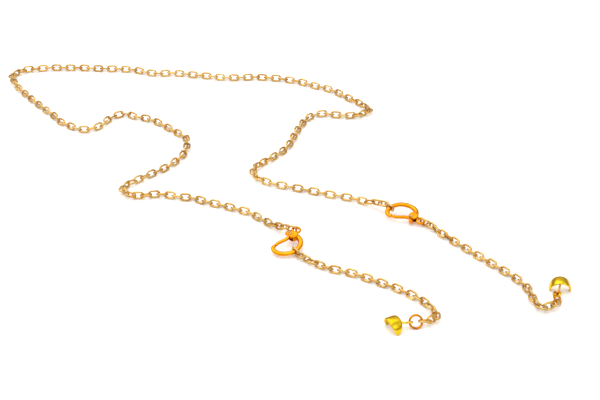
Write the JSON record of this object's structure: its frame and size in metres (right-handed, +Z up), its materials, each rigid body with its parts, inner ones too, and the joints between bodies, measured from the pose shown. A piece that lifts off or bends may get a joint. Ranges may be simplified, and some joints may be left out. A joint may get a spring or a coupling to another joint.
{
  "type": "eyeglasses chain strap",
  "caption": "Gold-coloured eyeglasses chain strap laid in loose folds: oval link chain, lobster clasps, jump rings and C-shaped spring clips for the temple arms.",
  "frame": {"origin": "middle of the strap's footprint, on the surface it lies on", "axes": "+Z up, +X to the right and +Y to the back of the laid-out strap"},
  "size_m": [0.2206, 0.1932, 0.0055],
  "materials": {
    "chain_gold": "polished gold plating, brownish",
    "clasp_gold": "polished gold plating, orange",
    "clip_gold": "polished gold plating, yellow",
    "steel": "plain steel wire"
  },
  "bodies": {
    "neck_back": {"neck_back_link_1": "chain_gold", "neck_back_link_2": "chain_gold", "neck_back_link_3": "chain_gold", "neck_back_link_4": "chain_gold", "neck_back_run": "chain_gold"},
    "neck_left_side": {"neck_left_side_link_1": "chain_gold", "neck_left_side_link_2": "chain_gold", "neck_left_side_link_3": "chain_gold", "neck_left_side_link_4": "chain_gold", "neck_left_side_run": "chain_gold"},
    "neck_left_front": {"neck_left_front_link_1": "chain_gold", "neck_left_front_link_2": "chain_gold", "neck_left_front_link_3": "chain_gold", "neck_left_front_link_4": "chain_gold", "neck_left_front_run": "chain_gold"},
    "neck_right_side": {"neck_right_side_link_1": "chain_gold", "neck_right_side_link_2": "chain_gold", "neck_right_side_link_3": "chain_gold", "neck_right_side_link_4": "chain_gold", "neck_right_side_run": "chain_gold"},
    "neck_right_front": {"neck_right_front_link_1": "chain_gold", "neck_right_front_link_2": "chain_gold", "neck_right_front_link_3": "chain_gold", "neck_right_front_link_4": "chain_gold", "neck_right_front_run": "chain_gold"},
    "left_clasp": {"left_clasp_body": "clasp_gold", "left_clasp_pin": "steel", "left_clasp_spring": "steel", "left_hooked_link": "chain_gold"},
    "left_gate": {"left_clasp_gate": "clasp_gold"},
    "right_clasp": {"right_clasp_body": "clasp_gold", "right_clasp_pin": "steel", "right_clasp_spring": "steel", "right_hooked_link": "chain_gold"},
    "right_gate": {"right_clasp_gate": "clasp_gold"},
    "left_front_chain": {"front_left_link_1": "chain_gold", "front_left_link_2": "chain_gold", "front_left_link_3": "chain_gold", "front_left_link_4": "chain_gold", "front_left_link_5": "chain_gold", "front_left_link_6": "chain_gold", "front_left_run": "chain_gold"},
    "left_ring": {"left_jump_ring": "clasp_gold"},
    "left_clip": {"left_clip_hanger": "clip_gold", "left_clip_band": "clip_gold"},
    "right_front_chain": {"front_right_link_1": "chain_gold", "front_right_link_2": "chain_gold", "front_right_link_3": "chain_gold", "front_right_link_4": "chain_gold", "front_right_link_5": "chain_gold", "front_right_link_6": "chain_gold", "front_right_run": "chain_gold"},
    "right_ring": {"right_jump_ring": "clasp_gold"},
    "right_clip": {"right_clip_hanger": "clip_gold", "right_clip_band": "clip_gold"}
  },
  "joints": [
    {"name": "fold_left_end", "type": "hinge", "parent": "neck_back", "child": "neck_left_side", "pos_m": [-0.1089, 0.0864, 0.00162], "axis": [0, 0, 1], "range_deg": [-30, 0]},
    {"name": "fold_left_corner", "type": "hinge", "parent": "neck_left_side", "child": "neck_left_front", "pos_m": [-0.0501, -0.008, 0.00162], "axis": [0, 0, 1], "range_deg": [-30, 5]},
    {"name": "left_clasp_swing", "type": "hinge", "parent": "neck_left_front", "child": "left_clasp", "pos_m": [0.01616, -0.03924, 0.00391], "axis": [0, 0, 1], "range_deg": [-5, 25]},
    {"name": "left_gate_hinge", "type": "hinge", "parent": "left_clasp", "child": "left_gate", "pos_m": [0.01404, -0.04209, 0.00331], "axis": [0, -0.208, 0.9781], "range_deg": [0, 30], "stiffness_Nm_per_rad": 0.0004},
    {"name": "left_front_swing", "type": "hinge", "parent": "left_clasp", "child": "left_front_chain", "pos_m": [0.01736, -0.05129, 0.00135], "axis": [0, 0, 1], "range_deg": [-20, 15]},
    {"name": "left_ring_swing", "type": "hinge", "parent": "left_front_chain", "child": "left_ring", "pos_m": [0.05772, -0.09083, 0.00216], "axis": [0, 0, 1], "range_deg": [-15, 15]},
    {"name": "left_clip_swing", "type": "hinge", "parent": "left_ring", "child": "left_clip", "pos_m": [0.05348, -0.09157, 0.00216], "axis": [0, 0, 1], "range_deg": [-20, 20]},
    {"name": "fold_right_end", "type": "hinge", "parent": "neck_back", "child": "neck_right_side", "pos_m": [0.0467, 0.0554, 0.00162], "axis": [0, 0, 1], "range_deg": [0, 30]},
    {"name": "fold_right_corner", "type": "hinge", "parent": "neck_right_side", "child": "neck_right_front", "pos_m": [-0.0007, 0.0062, 0.00162], "axis": [0, 0, 1], "range_deg": [-5, 30]},
    {"name": "right_clasp_swing", "type": "hinge", "parent": "neck_right_front", "child": "right_clasp", "pos_m": [0.04921, -0.02121, 0.00354], "axis": [0, 0, 1], "range_deg": [-15, 20]},
    {"name": "right_gate_hinge", "type": "hinge", "parent": "right_clasp", "child": "right_gate", "pos_m": [0.05843, -0.02855, 0.00198], "axis": [0, 0.208, -0.9781], "range_deg": [0, 30], "stiffness_Nm_per_rad": 0.0004},
    {"name": "right_front_swing", "type": "hinge", "parent": "right_clasp", "child": "right_front_chain", "pos_m": [0.06177, -0.02987, 0.0017], "axis": [0, 0, 1], "range_deg": [-15, 20]},
    {"name": "right_ring_swing", "type": "hinge", "parent": "right_front_chain", "child": "right_ring", "pos_m": [0.10347, -0.08016, 0.00216], "axis": [0, 0, 1], "range_deg": [-15, 15]},
    {"name": "right_clip_swing", "type": "hinge", "parent": "right_ring", "child": "right_clip", "pos_m": [0.10473, -0.07604, 0.00216], "axis": [0, 0, 1], "range_deg": [-20, 20]}
  ]
}
